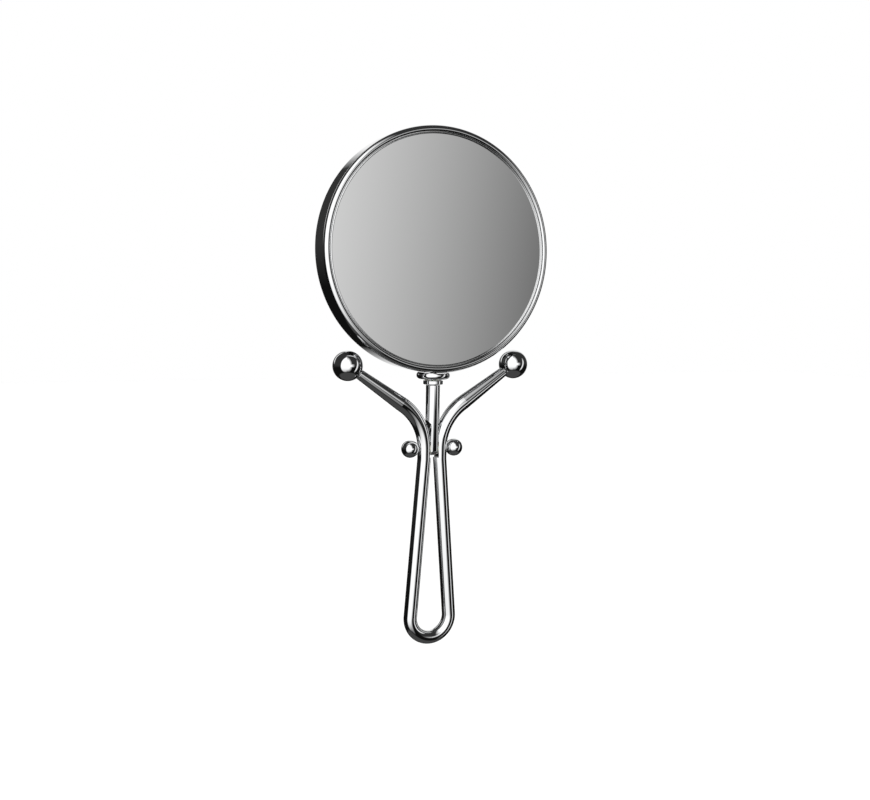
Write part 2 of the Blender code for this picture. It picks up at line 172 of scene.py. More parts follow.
def makeHairScratches():
    # fine wiping scratches in two crossing directions
    tree, given, out = startGroup("hairScratches", "ShaderNodeTree",
                                  [("Place", vectorSocket, None), ("Size", floatSocket, 900.0),
                                   ("Amount", floatSocket, 0.5)],
                                  [("Height", floatSocket), ("Mask", floatSocket)])
    total = None
    for turn, stretch in (((0.3, 0.2, 0.5), (1.0, 0.03, 0.05)), ((0.1, -0.4, -0.7), (0.04, 1.0, 0.03))):
        laid = addNode(tree, "ShaderNodeMapping",
                       {"Vector": given["Place"], "Rotation": turn, "Scale": stretch})
        lines = addNode(tree, "ShaderNodeTexNoise", {"Vector": laid.outputs[0], "Scale": given["Size"],
                                                     "Detail": 2.0, "Roughness": 0.6})
        cutOff = calc(tree, "SUBTRACT", 0.82, calc(tree, "MULTIPLY", given["Amount"], 0.16))
        line = remap(tree, lines.outputs["Fac"], cutOff, 0.86, 0.0, 1.0)
        total = line if total is None else calc(tree, "MAXIMUM", total, line)
    tree.links.new(total, out["Mask"])
    tree.links.new(calc(tree, "MULTIPLY", total, -1.0), out["Height"])
    return tree


def makeDust():
    # sparse specks of dust, a little more where the noise is high
    tree, given, out = startGroup("dust", "ShaderNodeTree",
                                  [("Place", vectorSocket, None), ("Size", floatSocket, 500.0),
                                   ("Amount", floatSocket, 0.3)],
                                  [("Specks", floatSocket)])
    cells = addNode(tree, "ShaderNodeTexVoronoi", {"Vector": given["Place"], "Scale": given["Size"]})
    pick = addNode(tree, "ShaderNodeSeparateColor", {"Color": cells.outputs["Color"]})
    chosen = calc(tree, "LESS_THAN", pick.outputs[0], calc(tree, "MULTIPLY", given["Amount"], 0.2))
    reach = calc(tree, "MULTIPLY_ADD", pick.outputs[1], 0.14, 0.05)
    dot = calc(tree, "LESS_THAN", cells.outputs["Distance"], reach)
    tree.links.new(calc(tree, "MULTIPLY", chosen, dot), out["Specks"])
    return tree


def makeGrain():
    # even fine grain with a slower drift under it: cast, moulded and pressed surfaces
    tree, given, out = startGroup("surfaceGrain", "ShaderNodeTree",
                                  [("Place", vectorSocket, None), ("Size", floatSocket, 800.0),
                                   ("Drift", floatSocket, 0.3)],
                                  [("Height", floatSocket), ("Tone", floatSocket)])
    fine = addNode(tree, "ShaderNodeTexNoise", {"Vector": given["Place"], "Scale": given["Size"],
                                                "Detail": 5.0, "Roughness": 0.6})
    slow = addNode(tree, "ShaderNodeTexNoise", {"Vector": given["Place"], "Detail": 2.0,
                                                "Scale": calc(tree, "MULTIPLY", given["Size"], 0.05)})
    drift = calc(tree, "MULTIPLY", slow.outputs["Fac"], given["Drift"])
    tree.links.new(fine.outputs["Fac"], out["Height"])
    tree.links.new(calc(tree, "MULTIPLY_ADD", fine.outputs["Fac"], 0.5, drift), out["Tone"])
    return tree


handMarks = makeHandMarks()
hairScratches = makeHairScratches()
dust = makeDust()
surfaceGrain = makeGrain()


# finishes

def startFinish(name):
    material = bpy.data.materials.new(name)
    material.use_nodes = True
    tree = material.node_tree
    shader = tree.nodes["Principled BSDF"]
    place = addNode(tree, "ShaderNodeTexCoord").outputs["Object"]
    finishes[name] = material
    return tree, shader, place


def bump(tree, shader, height, strength, distance):
    node = addNode(tree, "ShaderNodeBump", {"Height": height, "Strength": strength, "Distance": distance})
    tree.links.new(node.outputs[0], shader.inputs["Normal"])


def chromeFinish(name, look):
    # bright plate: a faint ripple, wiping scratches, and haze where it is handled
    tree, shader, place = startFinish(name)
    shader.inputs["Metallic"].default_value = 1.0
    marks = useGroup(tree, handMarks, Place=place, Size=look["markSize"], Spread=look["marks"])
    lines = useGroup(tree, hairScratches, Place=place, Size=look["lineSize"], Amount=look["lines"])
    specks = useGroup(tree, dust, Place=place, Size=look["speckSize"], Amount=look["dust"])
    haze = calc(tree, "MULTIPLY_ADD", marks.outputs["Haze"], look["hazeRough"], look["rough"])
    scuffed = calc(tree, "MULTIPLY_ADD", lines.outputs["Mask"], look["lineRough"], haze)
    dusty = calc(tree, "MULTIPLY_ADD", specks.outputs["Specks"], look["dustRough"], scuffed, clamp=True)
    feed(tree, shader.inputs["Roughness"], dusty)
    tone = mixColour(tree, marks.outputs["Haze"], look["colour"], look["hazeColour"])
    feed(tree, shader.inputs["Base Color"],
         mixColour(tree, specks.outputs["Specks"], tone, grey(look["dustTone"])))
    ripple = addNode(tree, "ShaderNodeTexNoise",
                     {"Vector": place, "Scale": look["rippleSize"], "Detail": 1.0})
    height = calc(tree, "MULTIPLY_ADD", ripple.outputs["Fac"], look["ripple"],
                  calc(tree, "MULTIPLY", lines.outputs["Height"], look["lineDepth"]))
    bump(tree, shader, height, 1.0, 1.0)


chromeLook = {
    "colour": (0.80, 0.805, 0.81, 1), "hazeColour": (0.72, 0.72, 0.715, 1),
    "rough": 0.022, "hazeRough": 0.05, "lineRough": 0.05,
    "markSize": 55.0, "marks": 0.45, "lineSize": 1500.0, "lines": 0.35, "lineDepth": 0.15e-6,
    "speckSize": 420.0, "dust": 0.05, "dustRough": 0.25, "dustTone": 0.55,
    "rippleSize": 130.0, "ripple": 1.2e-6,
}
chromeFinish("rodChrome", chromeLook)
chromeFinish("rimChrome", dict(chromeLook, ripple=0.9e-6, rippleSize=90.0, marks=0.35))
chromeFinish("turnedChrome", dict(chromeLook, ripple=0.5e-6, rippleSize=160.0, marks=0.3, rough=0.018))


def silveredGlassFinish():
    # silvered float glass: nearly neutral, hazed a little by wiping, a grey ground edge
    look = {"tint": (0.80, 0.802, 0.80, 1), "edgeTint": (0.30, 0.36, 0.34, 1), "edgeStart": 61.7 * mm,
            "edgeEnd": 62.2 * mm, "edgeRough": 0.35, "rough": 0.004, "hazeRough": 0.03,
            "scratchRough": 0.02, "markSize": 30.0, "marks": 0.35, "lineSize": 1300.0, "lines": 0.25}
    tree, shader, place = startFinish("silveredGlass")
    shader.inputs["Metallic"].default_value = 1.0
    shader.inputs["Coat Roughness"].default_value = 0.01
    shader.inputs["Coat Weight"].default_value = 0.35
    centred = addNode(tree, "ShaderNodeMapping", {"Vector": place, "Location": tuple(-headCentre),
                                                  "Scale": (1, 0, 1)})
    fromCentre = addNode(tree, "ShaderNodeVectorMath", {0: centred.outputs[0]}, operation="LENGTH")
    edge = remap(tree, fromCentre.outputs["Value"], look["edgeStart"], look["edgeEnd"], 0.0, 1.0,
                 "SMOOTHSTEP")
    marks = useGroup(tree, handMarks, Place=place, Size=look["markSize"], Spread=look["marks"])
    lines = useGroup(tree, hairScratches, Place=place, Size=look["lineSize"], Amount=look["lines"])
    hazed = calc(tree, "MULTIPLY_ADD", marks.outputs["Haze"], look["hazeRough"], look["rough"])
    wiped = calc(tree, "MULTIPLY_ADD", lines.outputs["Mask"], look["scratchRough"], hazed)
    feed(tree, shader.inputs["Roughness"],
         calc(tree, "MULTIPLY_ADD", edge, look["edgeRough"], wiped, clamp=True))
    feed(tree, shader.inputs["Base Color"], mixColour(tree, edge, look["tint"], look["edgeTint"]))


silveredGlassFinish()


def turnedSteelFinish():
    # bare steel with the rings a lathe tool leaves
    look = {"bright": (0.62, 0.61, 0.60, 1), "dull": (0.42, 0.41, 0.40, 1), "rough": 0.22}
    tree, shader, place = startFinish("turnedSteel")
    shader.inputs["Metallic"].default_value = 1.0
    rings = addNode(tree, "ShaderNodeTexWave", {"Vector": place, "Scale": 1400.0, "Distortion": 1.5,
                                                "Detail": 2.0}, wave_type="RINGS", rings_direction="X")
    grain = useGroup(tree, surfaceGrain, Place=place, Size=2500.0, Drift=0.5)
    feed(tree, shader.inputs["Base Color"],
         mixColour(tree, remap(tree, grain.outputs["Tone"], 0.3, 0.8, 0, 1), look["bright"], look["dull"]))
    feed(tree, shader.inputs["Roughness"],
         calc(tree, "MULTIPLY_ADD", grain.outputs["Tone"], 0.2, look["rough"]))
    bump(tree, shader, rings.outputs["Fac"], 0.3, 0.01 * mm)


turnedSteelFinish()


def softFinish(name, look):
    # nylon, rubber, moulded plastic and felt: grain, tone drift and dust
    tree, shader, place = startFinish(name)
    for key, value in look["fixed"].items():
        shader.inputs[key].default_value = value
    grain = useGroup(tree, surfaceGrain, Place=place, Size=look["size"], Drift=look["drift"])
    specks = useGroup(tree, dust, Place=place, Size=600.0, Amount=look["dust"])
    tone = remap(tree, grain.outputs["Tone"], 0.2, 0.8, 0.0, 1.0)
    body = mixColour(tree, tone, look["dark"], look["light"])
    feed(tree, shader.inputs["Base Color"], mixColour(tree, specks.outputs["Specks"], body, grey(0.5)))
    feed(tree, shader.inputs["Roughness"],
         calc(tree, "MULTIPLY_ADD", tone, look["roughSpan"], look["rough"], clamp=True))
    bump(tree, shader, grain.outputs["Height"], look["relief"], 0.05 * mm)


softFinish("naturalNylon", {"dark": (0.66, 0.65, 0.58, 1), "light": (0.80, 0.79, 0.73, 1), "size": 1200.0,
                            "drift": 0.3, "dust": 0.2, "rough": 0.35, "roughSpan": 0.15, "relief": 0.2,
                            "fixed": {"Subsurface Weight": 0.15, "Subsurface Scale": 0.002}})
softFinish("blackRubber", {"dark": (0.012, 0.012, 0.012, 1), "light": (0.035, 0.034, 0.033, 1),
                           "size": 1600.0, "drift": 0.4, "dust": 0.5, "rough": 0.5, "roughSpan": 0.25,
                           "relief": 0.35, "fixed": {"Specular IOR Level": 0.4}})
softFinish("blackMoulding", {"dark": (0.02, 0.02, 0.021, 1), "light": (0.045, 0.045, 0.048, 1),
                             "size": 2200.0, "drift": 0.3, "dust": 0.3, "rough": 0.38, "roughSpan": 0.2,
                             "relief": 0.3, "fixed": {"Specular IOR Level": 0.5}})
softFinish("greyFelt", {"dark": (0.12, 0.12, 0.125, 1), "light": (0.30, 0.30, 0.305, 1), "size": 3000.0,
                        "drift": 0.6, "dust": 0.2, "rough": 0.85, "roughSpan": 0.15, "relief": 0.9,
                        "fixed": {"Sheen Weight": 0.4, "Sheen Roughness": 0.6}})
print("finishes made:", ", ".join(finishes))


# mesh helpers

def addPiece(name, mesh, finish, body, stoodFor):
    # a finished piece sits at the origin; its place is in its mesh
    mesh.name = name
    mesh.materials.clear()
    mesh.materials.append(finishes[finish])
    mesh.polygons.foreach_set("material_index", [0] * len(mesh.polygons))
    piece = bpy.data.objects.new(name, mesh)
    scene.collection.objects.link(piece)
    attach(piece, body)
    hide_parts(*stoodFor)
    return piece


def smoothed(mesh, angle=28):
    mesh.shade_smooth()
    mesh.set_sharp_from_angle(angle=radians(angle))
    return mesh


def toMesh(bm, name, place=None):
    bmesh.ops.remove_doubles(bm, verts=bm.verts, dist=1e-7)
    bmesh.ops.recalc_face_normals(bm, faces=bm.faces)
    if place is not None:
        bm.transform(place)
    mesh = bpy.data.meshes.new(name)
    bm.to_mesh(mesh)
    bm.free()
    return mesh


def arc(centre, radius, start, end, count):
    points = []
    for i in range(count + 1):
        angle = radians(start + (end - start) * i / count)
        points.append((centre[0] + radius * cos(angle), centre[1] + radius * sin(angle)))
    return points


def softCorners(corners, closed=False):
    # corners are (radius, height, fillet); each fillet becomes an arc with a support point on both sides
    points = []
    count = len(corners)
    for i, (x, y, fillet) in enumerate(corners):
        here = Vector((x, y))
        if not fillet or (not closed and i in (0, count - 1)):
            points.append((x, y))
            continue
        before = Vector(corners[i - 1][:2]) - here
        after = Vector(corners[(i + 1) % count][:2]) - here
        half = before.angle(after) / 2
        run = fillet / tan(half)
        inward = (before.normalized() + after.normalized()).normalized()
        centre = here + inward * (fillet / sin(half))
        first = here + before.normalized() * run - centre
        last = here + after.normalized() * run - centre
        turn = first.angle(last)
        steps = max(3, ceil(degrees(turn) / 9))
        points.append(tuple(centre + first + before.normalized() * fillet * 0.2))
        for k in range(steps + 1):
            a, b = sin(turn * (1 - k / steps)) / sin(turn), sin(turn * k / steps) / sin(turn)
            points.append(tuple(centre + first * a + last * b))
        points.append(tuple(centre + last + after.normalized() * fillet * 0.2))
    return points


def turnedMesh(name, profile, steps, place, ring=False):
    # spin a (radius, height) profile about local Z
    bm = bmesh.new()
    rows = []
    for radius, height in profile:
        if radius < 1e-7:
            rows.append([bm.verts.new((0, 0, height))])
            continue
        angles = [2 * pi * i / steps for i in range(steps)]
        rows.append([bm.verts.new((radius * cos(a), radius * sin(a), height)) for a in angles])
    pairs = list(zip(rows[:-1], rows[1:]))
    if ring:
        pairs.append((rows[-1], rows[0]))
    for low, high in pairs:
        for i in range(steps):
            j = (i + 1) % steps
            corners = [low[i % len(low)], low[j % len(low)], high[j % len(high)], high[i % len(high)]]
            corners = list(dict.fromkeys(corners))
            if len(corners) > 2:
                bm.faces.new(corners)
    return smoothed(toMesh(bm, name, place))


def prism(name, outline, low, high, along):
    # extrude an outline of 2-D points; along is "X" for (y, z) points and "Y" for (x, z) points
    bm = bmesh.new()
    ends = []
    for level in (low, high):
        spots = [(level, a, b) if along == "X" else (a, level, b) for a, b in outline]
        ends.append([bm.verts.new(spot) for spot in spots])
    bm.faces.new(ends[0])
    bm.faces.new(ends[1])
    for i in range(len(outline)):
        j = (i + 1) % len(outline)
        bm.faces.new([ends[0][i], ends[0][j], ends[1][j], ends[1][i]])
    return toMesh(bm, name)


def drillProfile(radius, low, high):
    return [(0, low), (radius, low), (radius, high), (0, high)]


def boxOutline(low, high):
    return [low, (high[0], low[1]), high, (low[0], high[1])]


def evaluated(holder):
    scene.collection.objects.link(holder)
    depsgraph = bpy.context.evaluated_depsgraph_get()
    mesh = bpy.data.meshes.new_from_object(holder.evaluated_get(depsgraph), preserve_all_data_layers=True,
                                           depsgraph=depsgraph)
    return mesh


def carved(mesh, cutters):
    # cut each cutter mesh out of a mesh and give back the plain result
    holder = bpy.data.objects.new("blank", mesh)
    tools = []
    for cutter in cutters:
        tool = bpy.data.objects.new(cutter.name, cutter)
        scene.collection.objects.link(tool)
        tools.append(tool)
        modifier = holder.modifiers.new(cutter.name, "BOOLEAN")
        modifier.operation = "DIFFERENCE"
        modifier.solver = "EXACT"
        modifier.object = tool
    result = evaluated(holder)
    for obj in [holder] + tools:
        bpy.data.objects.remove(obj)
    return smoothed(result)


def grown(seed, tree, values, place=None):
    # run a geometry tree on a seed mesh; the modifier goes with the holder
    holder = bpy.data.objects.new("seed", seed)
    modifier = holder.modifiers.new("grow", "NODES")
    modifier.node_group = tree
    sockets = {item.name: item.identifier for item in tree.interface.items_tree
               if item.item_type == "SOCKET" and item.in_out == "INPUT"}
    for key, value in values.items():
        modifier[sockets[key]] = value
    mesh = evaluated(holder)
    bpy.data.objects.remove(holder)
    bm = bmesh.new()
    bm.from_mesh(mesh)
    return smoothed(toMesh(bm, seed.name, place))


def lineMesh(name, points, closed, values=None):
    # a polyline for a tree to read; values become the point attribute "thickness"
    mesh = bpy.data.meshes.new(name)
    edges = [(i, i + 1) for i in range(len(points) - 1)]
    if closed:
        edges.append((len(points) - 1, 0))
    mesh.from_pydata(points, edges, [])
    if values:
        attribute = mesh.attributes.new("thickness", "FLOAT", "POINT")
        attribute.data.foreach_set("value", values)
    return mesh


# geometry trees: a section swept round a ring, and a rod along a path

def makeRingTree():
    tree, given, out = startGroup("sectionRoundRing", "GeometryNodeTree",
                                  [("Section", "NodeSocketGeometry", None), ("Radius", floatSocket, 0.05),
                                   ("Steps", "NodeSocketInt", 256), ("Finish", "NodeSocketMaterial", None)],
                                  [("Ring", "NodeSocketGeometry")])
    section = addNode(tree, "GeometryNodeMeshToCurve", {0: given["Section"]})
    circle = addNode(tree, "GeometryNodeCurvePrimitiveCircle", {"Resolution": given["Steps"],
                                                                "Radius": given["Radius"]})
    sweep = addNode(tree, "GeometryNodeCurveToMesh", {"Curve": circle.outputs[0],
                                                      "Profile Curve": section.outputs[0]})
    soft = addNode(tree, "GeometryNodeSetShadeSmooth", {0: sweep.outputs[0]})
    real = addNode(tree, "GeometryNodeRealizeInstances", {0: soft.outputs[0]})
    done = addNode(tree, "GeometryNodeSetMaterial",
                   {"Geometry": real.outputs[0], "Material": given["Finish"]})
    tree.links.new(done.outputs[0], out["Ring"])
    return tree


def makeRodTree():
    tree, given, out = startGroup("bentRod", "GeometryNodeTree",
                                  [("Path", "NodeSocketGeometry", None), ("Sides", "NodeSocketInt", 64),
                                   ("Finish", "NodeSocketMaterial", None)],
                                  [("Rod", "NodeSocketGeometry")])
    path = addNode(tree, "GeometryNodeMeshToCurve", {0: given["Path"]})
    thickness = addNode(tree, "GeometryNodeInputNamedAttribute", {"Name": "thickness"}, data_type="FLOAT")
    circle = addNode(tree, "GeometryNodeCurvePrimitiveCircle",
                     {"Resolution": given["Sides"], "Radius": 1.0})
    sweep = addNode(tree, "GeometryNodeCurveToMesh", {"Curve": path.outputs[0],
                                                      "Profile Curve": circle.outputs[0],
                                                      "Scale": thickness.outputs[0], "Fill Caps": True})
    soft = addNode(tree, "GeometryNodeSetShadeSmooth", {0: sweep.outputs[0]})
    real = addNode(tree, "GeometryNodeRealizeInstances", {0: soft.outputs[0]})
    done = addNode(tree, "GeometryNodeSetMaterial",
                   {"Geometry": real.outputs[0], "Material": given["Finish"]})
    tree.links.new(done.outputs[0], out["Rod"])
    return tree


ringTree = makeRingTree()
rodTree = makeRodTree()


def ringMesh(name, section, radius, steps, finish):
    # section is a closed list of (radius, height) points; height points to the front of the mirror
    seed = lineMesh(name, [(r - radius, -h, 0) for r, h in section], True)
    values = {"Radius": radius, "Steps": steps, "Finish": finishes[finish]}
    return grown(seed, ringTree, values, faceFront)


# rim

rim = {"round": 2.1 * mm, "wall": 0.8 * mm, "lipInner": 61.6 * mm, "lipWall": 0.8 * mm,
       "lipDip": 0.17 * mm, "lipNose": 0.2 * mm, "wallEnd": 0.3 * mm, "steps": 320,
       "holeRadius": 2.2 * mm, "drillHalf": 3.0 * mm}


def rimSection():
    # outer wall, a full round, and a lip that slopes in to the glass; mirrored front to back
    radius, half = rimHalf.x, rimHalf.y
    centre = Vector((radius - rim["round"], half - rim["round"]))
    nose = Vector((rim["lipInner"] + rim["lipNose"], half - rim["lipDip"]))
    away = nose - centre
    leave = degrees(atan2(away.y, away.x) - acos(rim["round"] / away.length))
    front = [(radius, half - rim["round"] - rim["wallEnd"])]
    front += arc(centre, rim["round"], 0, leave, 18)
    turnAt = (rim["lipInner"] + rim["lipNose"], half - rim["lipDip"] - rim["lipNose"])
    front += arc(turnAt, rim["lipNose"], leave, 180, 5)
    under = half - rim["lipWall"]
    inside = [(rim["lipInner"], under), (radius - 2 * rim["wall"], under),
              (radius - rim["wall"], under - rim["wall"])]
    halfLoop = front + inside
    return halfLoop + [(r, -h) for r, h in reversed(halfLoop)]


def buildRim():
    mesh = ringMesh("rim", rimSection(), rimHalf.x, rim["steps"], "rimChrome")
    place = onHead @ Matrix.Translation((0, 0, -rimHalf.x))
    drill = turnedMesh("rimDrill", drillProfile(rim["holeRadius"], -rim["drillHalf"], rim["drillHalf"]), 64,
                       place)
    addPiece("rim", carved(mesh, [drill]), "rimChrome", "head", ["rim_channel"])


buildRim()


# glasses and the trim beads round them

glass = {"edge": 0.3 * mm, "dishRadius": 59.8 * mm, "dishSag": 1.5 * mm, "thick": 2.4 * mm,
         "flat": 2.0 * mm, "steps": 256, "rows": 36}
bead = {"half": 0.45 * mm, "foot": 0.05 * mm, "crown": 0.45 * mm, "steps": 256, "arcSteps": 14}


def dishDepth(radius):
    return glass["dishSag"] * max(0.0, 1.0 - (radius / glass["dishRadius"]) ** 2)


def buildGlasses():
    radius = boxOf("front_glass")[1].x
    face = headCentre.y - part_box("front_glass")[0].y
    back = face - glass["thick"]
    flat = softCorners([(0, face, 0), (radius, face, glass["edge"]), (radius, back, glass["edge"]),
                        (0, back, 0)])
    addPiece("plain_glass", turnedMesh("plain_glass", flat, glass["steps"], faceFront), "silveredGlass",
             "head", ["front_glass"])

    radii = [glass["dishRadius"] * i / glass["rows"] for i in range(glass["rows"] + 1)]
    hollow = [(r, -(face - dishDepth(r))) for r in radii]
    hollow += softCorners([(radius - glass["flat"], -face, 0), (radius, -face, glass["edge"]),
                           (radius, -back, 0)])
    hollow += [(r, -(back - dishDepth(r))) for r in reversed(radii)]
    addPiece("magnifying_glass", turnedMesh("magnifying_glass", hollow, glass["steps"], faceFront),
             "silveredGlass", "head", ["back_glass"])
    return face


def buildBead(side, word, face):
    inner = boxOf(word + "_trim_ring")[1].x - 2 * bead["half"]
    middle = inner + bead["half"]
    low = face + bead["foot"]
    crown = face + bead["crown"]
    section = [(inner, low), (inner + 2 * bead["half"], low)]
    section += arc((middle, crown), bead["half"], 0, 180, bead["arcSteps"])
    section = [(r, side * h) for r, h in section]
    mesh = ringMesh("trim_" + word, section, middle, bead["steps"], "rimChrome")
    addPiece("trim_" + word, mesh, "rimChrome", "head", [word + "_trim_ring"])


glassFace = buildGlasses()
buildBead(1, "front", glassFace)
buildBead(-1, "back", glassFace)
print("head made")


# swivel: saddle disc, washer, collar and stem

swivel = {"discTop": 64.3 * mm, "discRound": 1.9 * mm, "flatInset": 1.0 * mm, "bore": 2.2 * mm,
          "collarRound": 0.4 * mm, "saddleGap": 0.3 * mm, "saddleHalf": 12.0 * mm}
stem = {"tongueHalf": 1.95 * mm, "rise": 15.5 * mm, "ramp": 2.4 * mm, "topEdge": 0.3 * mm,
        "hole": 1.95 * mm, "holeDepth": 9.0 * mm, "bore": 1.7 * mm, "wide": 6.0 * mm, "runOut": 1.0 * mm}


def levelsOf(node):
    low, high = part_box(node)
    return low.z, high.z, high.x


def buildSwivel():
    low, high, radius = levelsOf("swivel_disc")
    top = headCentre.z - swivel["discTop"]
    rounding = swivel["discRound"]
    flat = radius - rounding - swivel["flatInset"]
    profile = [(swivel["bore"], low), (flat, low)]
    profile += arc((radius - rounding, low + rounding), rounding, -90, 0, 16)
    profile += arc((radius - rounding, top - rounding), rounding, 0, 90, 16)
    profile += [(flat, top), (swivel["bore"], top)]
    disc = turnedMesh("saddle_disc", profile, 128, Matrix.Identity(4), ring=True)
    reach = rimHalf.x + swivel["saddleGap"]
    saddle = turnedMesh("saddleCutter", drillProfile(reach, -swivel["saddleHalf"], swivel["saddleHalf"]),
                        720, faceFront)
    addPiece("saddle_disc", carved(disc, [saddle]), "turnedChrome", "head", ["swivel_disc"])

    low, high, radius = levelsOf("stem_collar")
    edge = swivel["collarRound"]
    profile = softCorners([(swivel["bore"], low, 0), (radius, low, edge), (radius, high, edge),
                           (swivel["bore"], high, 0)])
    addPiece("collar", turnedMesh("collar", profile, 96, Matrix.Identity(4), ring=True), "turnedChrome",
             "stem", ["stem_collar"])

    low, high, radius = levelsOf("thrust_washer")
    profile = [(swivel["bore"], low), (radius, low), (radius, high), (swivel["bore"], high)]
    addPiece("swivel_washer", turnedMesh("swivel_washer", profile, 64, Matrix.Identity(4), ring=True),
             "naturalNylon", "stem", ["thrust_washer"])


def buildStem():
    low, high, radius = levelsOf("stem")
    axle = axleCentre.z
    profile = softCorners([(0, low, 0), (radius, low, 0), (radius, high, stem["topEdge"]), (0, high, 0)])
    blank = turnedMesh("stem", profile, 128, Matrix.Identity(4))
    wide = stem["wide"]
    cutters = []
    for side in (-1, 1):
        outline = [(stem["tongueHalf"], axle - wide), (wide, axle - wide), (wide, axle + stem["rise"]),
                   (radius, axle + stem["rise"]),
                   (stem["tongueHalf"], axle + stem["rise"] - stem["ramp"])]
        cutters.append(prism("flatCutter", [(side * x, z) for x, z in outline], -wide, wide, "Y"))
    rounding = [(y, axle + z) for y, z in arc((0, 0), radius, 180, 360, 40)]
    rounding += [(wide, axle), (wide, axle - wide), (-wide, axle - wide), (-wide, axle)]
    cutters.append(prism("endCutter", rounding, -wide, wide, "X"))
    bore = drillProfile(stem["bore"], -wide, wide)
    cutters.append(turnedMesh("tongueDrill", bore, drillSteps, acrossAxle))
    hole = drillProfile(stem["hole"], high - stem["holeDepth"], high + stem["runOut"])
    cutters.append(turnedMesh("screwHole", hole, drillSteps, Matrix.Identity(4)))
    addPiece("stem_bar", carved(blank, cutters), "turnedChrome", "stem", ["stem"])


buildSwivel()
buildStem()
print("stem and swivel made")


# bent rod: knees, neck, legs and loop in one sweep

rod = {"radius": 3.7 * mm, "neckX": 4.67 * mm, "neckLow": 6.0 * mm, "legSlope": radians(4.5),
       "loopDrop": 93.6 * mm, "bend": 29.0 * mm, "hornTilt": radians(34.0), "kneeRadius": 4.1 * mm,
       "kneeStub": 1.5 * mm, "sides": 96, "seamDepth": 0.015 * mm, "seamHalf": 0.12 * mm,
       "slotHalf": 2.7 * mm, "slotFloor": 5.0 * mm, "slotTop": 16.0 * mm, "slotReach": 6.0 * mm,
       "bore": 1.7 * mm, "drillReach": 12.0 * mm}
horn = {"tip": 2.8 * mm, "spigot": 1.2 * mm, "spigotLength": 5.0 * mm, "shoulder": 7.4 * mm,
        "seat": 7.2 * mm, "studEnd": 3.0 * mm, "tipEdge": 0.25 * mm, "spigotEdge": 0.2 * mm,
        "kneeGap": 0.02 * mm, "kneeEdge": 0.04 * mm, "spigotGap": 0.1 * mm, "seatGap": 0.15 * mm,
        "endGap": 0.2 * mm, "runOut": 2.0 * mm}


def hornLine():
    # foot ball and knee as (x, z) above the axle, and the level where the bend leaves the neck
    centre = boxOf("foot_ball_right")[0]
    foot = Vector((centre.x, centre.z - axleCentre.z))
    along = Vector((cos(rod["hornTilt"]), sin(rod["hornTilt"])))
    meet = foot.y - (foot.x - rod["neckX"]) * tan(rod["hornTilt"])
    reach = rod["bend"] * tan((pi / 2 - rod["hornTilt"]) / 2)
    knee = Vector((rod["neckX"], meet)) + along * (reach + rod["kneeStub"])
    return foot, knee, meet - reach


def rodPath():
    # right half from the knee to the loop's lowest point, as (x, z above the axle, thickness)
    knee, bendLow = hornLine()[1:]
    full = rod["radius"]
    bend = arc((rod["neckX"] + rod["bend"], bendLow), rod["bend"], 90 + degrees(rod["hornTilt"]), 180, 44)
    points = [(knee.x, knee.y, rod["kneeRadius"])]
    for i, (x, z) in enumerate(bend):
        points.append((x, z, rod["kneeRadius"] + (full - rod["kneeRadius"]) * i / (len(bend) - 1)))
    points += straight((rod["neckX"], bendLow), (rod["neckX"], -rod["neckLow"]), 12, full)
    wide = rod["neckX"] + (rod["loopDrop"] - rod["neckLow"]) * tan(rod["legSlope"])
    loopRadius = wide * cos(rod["legSlope"])
    loop = arc((0, -rod["loopDrop"]), loopRadius, degrees(rod["legSlope"]), -90, 48)
    points += straight((rod["neckX"], -rod["neckLow"]), loop[0], 30, full)
    points += [(x, z, full) for x, z in loop[1:-1]]
    lowest = -rod["loopDrop"] - loopRadius
    points.append((rod["seamHalf"], lowest, full))
    points.append((0, lowest, full - rod["seamDepth"]))
    return points


def straight(start, end, count, thickness):
    points = []
    for i in range(1, count + 1):
        share = i / count
        points.append((start[0] + (end[0] - start[0]) * share, start[1] + (end[1] - start[1]) * share,
                       thickness))
    return points


def buildRod():
    right = rodPath()
    path = right + [(-x, z, t) for x, z, t in reversed(right[:-1])]
    seed = lineMesh("bent_rod", [(x, 0, axleCentre.z + z) for x, z, t in path], False,
                    [t for x, z, t in path])
    blank = grown(seed, rodTree, {"Sides": rod["sides"], "Finish": finishes["rodChrome"]})
    axle = axleCentre.z
    outline = boxOutline((-rod["slotHalf"], axle - rod["slotFloor"]),
                         (rod["slotHalf"], axle + rod["slotTop"]))
    slot = prism("neckSlot", outline, -rod["slotReach"], rod["slotReach"], "Y")
    bore = drillProfile(rod["bore"], -rod["drillReach"], rod["drillReach"])
    drill = turnedMesh("neckDrill", bore, drillSteps, acrossAxle)
    cutters = [slot, drill]
    knee = hornLine()[1]
    wide = horn["spigot"] + horn["spigotGap"]
    for side in (1, -1):
        place = onAxle @ Matrix.Translation((side * knee.x, 0, knee.y))
        place = place @ Matrix.Rotation(side * (pi / 2 - rod["hornTilt"]), 4, "Y")
        depth = horn["spigotLength"] + horn["endGap"]
        cutters.append(turnedMesh("spigotDrill", drillProfile(wide, -depth, horn["runOut"]), 32, place))
    addPiece("bent_rod", carved(blank, cutters), "rodChrome", "frame", ["loop_handle"])


